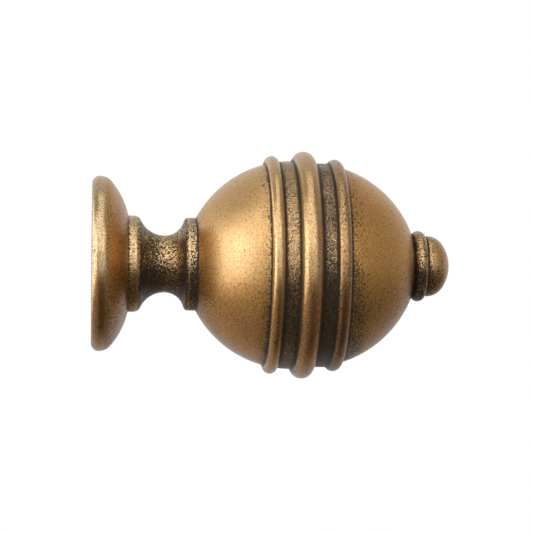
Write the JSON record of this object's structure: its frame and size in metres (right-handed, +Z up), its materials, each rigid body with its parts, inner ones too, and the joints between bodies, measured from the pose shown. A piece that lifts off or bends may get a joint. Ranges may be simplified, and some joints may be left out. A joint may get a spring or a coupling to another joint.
{
  "type": "curtain pole finial",
  "caption": "Turned ball finial with a domed flange, a waisted neck, raised beads round the ball and a button tip, tapped at the back to screw onto the end of a curtain pole.",
  "frame": {"origin": "centre of the flat back face that meets the end of the pole", "axes": "+X along the turning axis to the tip, +Z up with the pole level"},
  "size_m": [0.0823, 0.052, 0.052],
  "materials": {
    "antique_brass": "blackened brass, burnished back to a satin shine on the crests and left dark and speckled in the hollows"
  },
  "bodies": {
    "root": {"finial": "antique_brass"}
  },
  "joints": []
}
